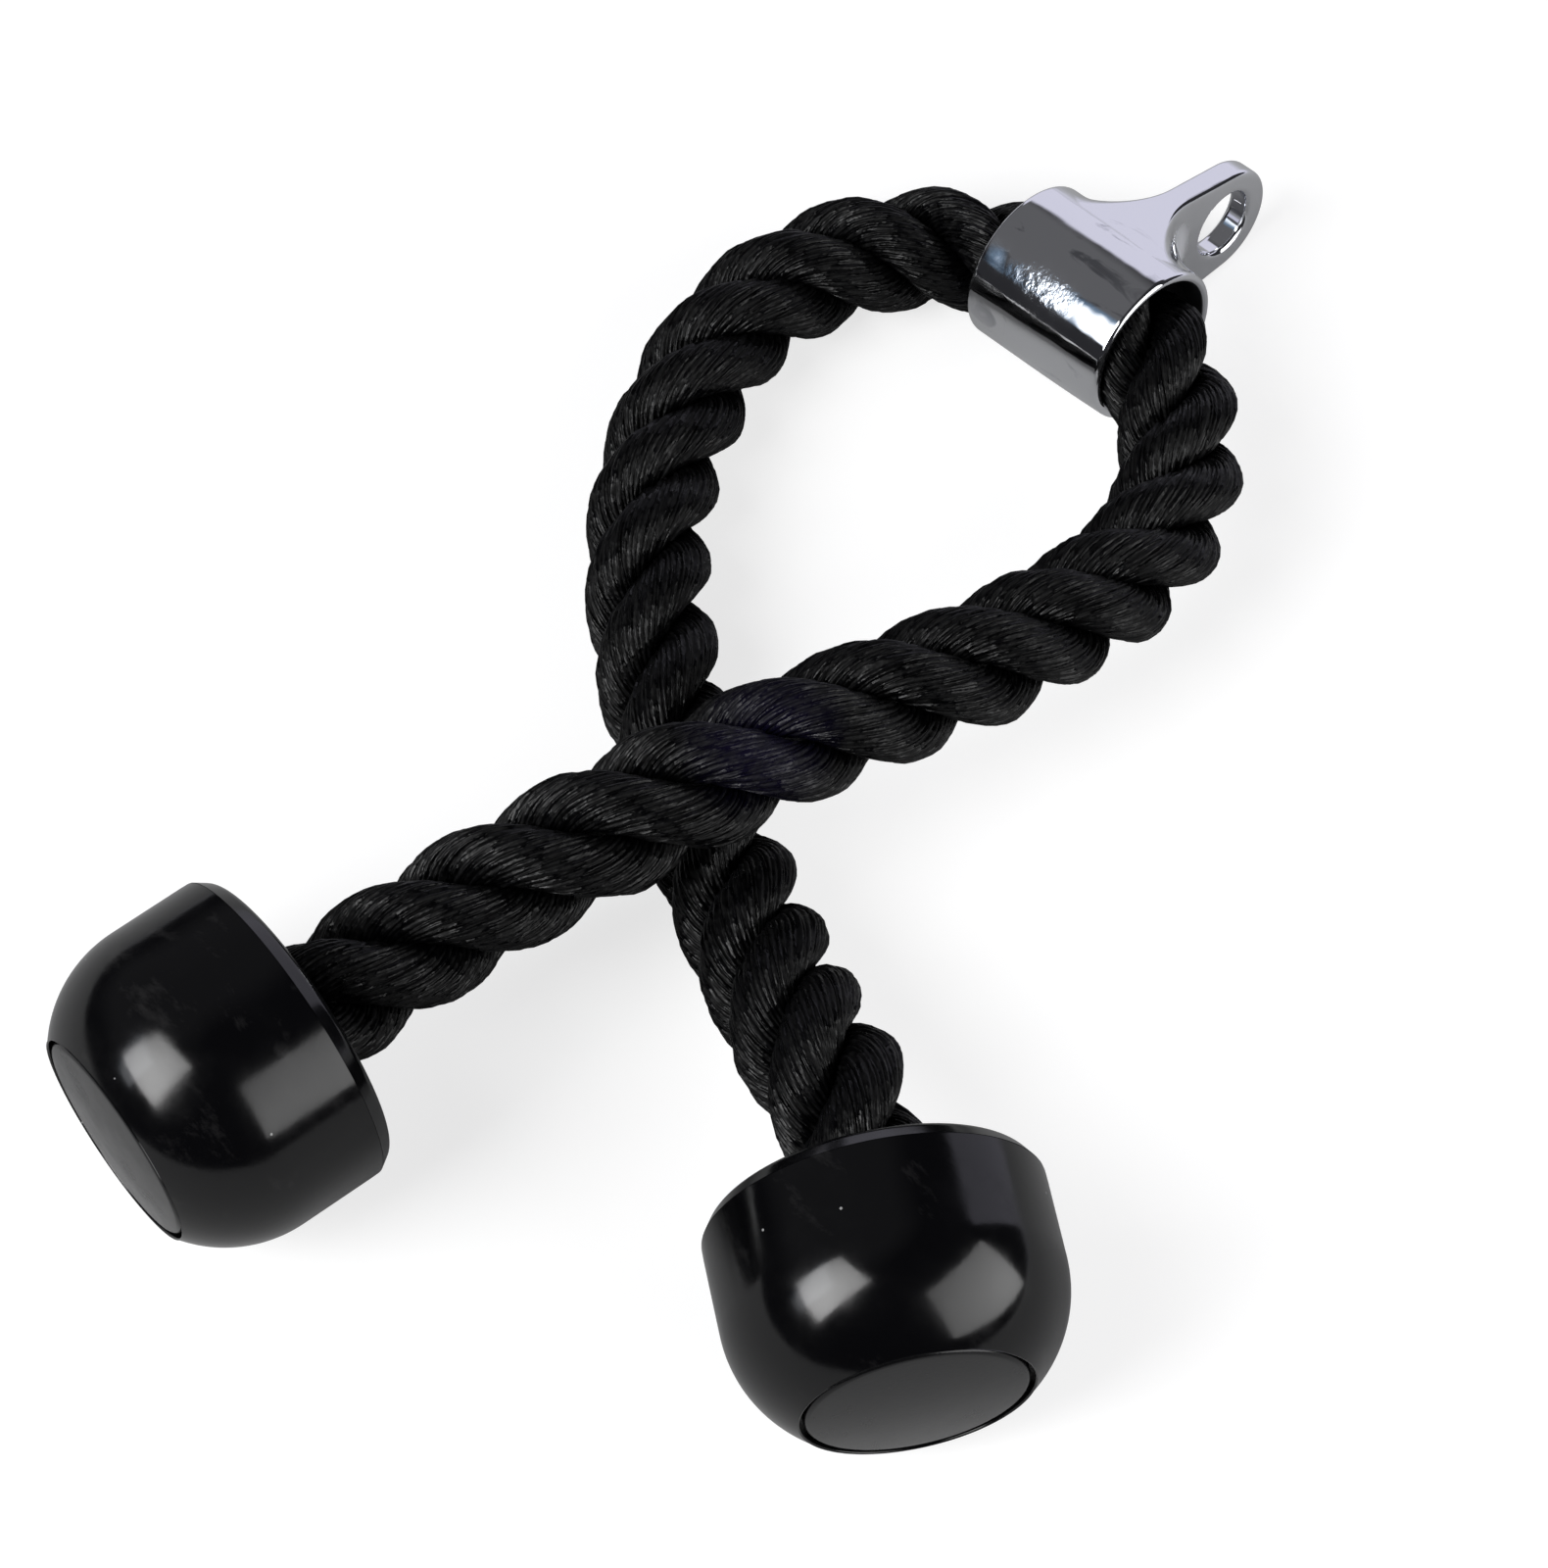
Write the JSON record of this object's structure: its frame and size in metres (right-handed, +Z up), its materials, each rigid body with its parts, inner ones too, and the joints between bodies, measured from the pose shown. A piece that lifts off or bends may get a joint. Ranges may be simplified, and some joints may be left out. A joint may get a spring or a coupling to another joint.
{
  "type": "triceps rope attachment",
  "caption": "Cable machine hand rope: thick twisted black rope looped through a chrome eye collar, with a round rubber stopper on each end.",
  "frame": {"origin": "on the floor plane, under the middle of the box round the collar and the two stoppers as the part lies", "axes": "+Z up; +Y from the stoppers towards the collar's eye; +X completes the right-handed set"},
  "size_m": [0.2406, 0.3489, 0.07],
  "materials": {
    "rope": "three-strand twisted synthetic rope, black, silky yarn sheen",
    "chrome": "polished chrome plate",
    "stopper_rubber": "smooth moulded, semi-gloss black",
    "cap_plastic": "satin dark grey, finely worn",
    "zinc_steel": "zinc plated"
  },
  "bodies": {
    "rope_assembly": {"rope": "rope", "left_crimp_ring": "zinc_steel", "left_thrust_washer": "zinc_steel", "right_crimp_ring": "zinc_steel", "right_thrust_washer": "zinc_steel"},
    "collar": {"eye_collar": "chrome"},
    "left_end": {"left_stopper": "stopper_rubber", "left_end_cap": "cap_plastic"},
    "right_end": {"right_stopper": "stopper_rubber", "right_end_cap": "cap_plastic"}
  },
  "joints": [
    {"name": "collar_turn", "type": "hinge", "parent": "rope_assembly", "child": "collar", "pos_m": [-0.0738, 0.1201, 0.02144], "axis": [0.9903, 0, 0.1392], "continuous": true},
    {"name": "left_stopper_turn", "type": "hinge", "parent": "rope_assembly", "child": "left_end", "pos_m": [-0.0611, -0.1268, 0.0351], "axis": [-0.134, -0.991, 0], "continuous": true},
    {"name": "right_stopper_turn", "type": "hinge", "parent": "rope_assembly", "child": "right_end", "pos_m": [0.0483, -0.0733, 0.0351], "axis": [0.8339, -0.5519, 0], "continuous": true}
  ]
}
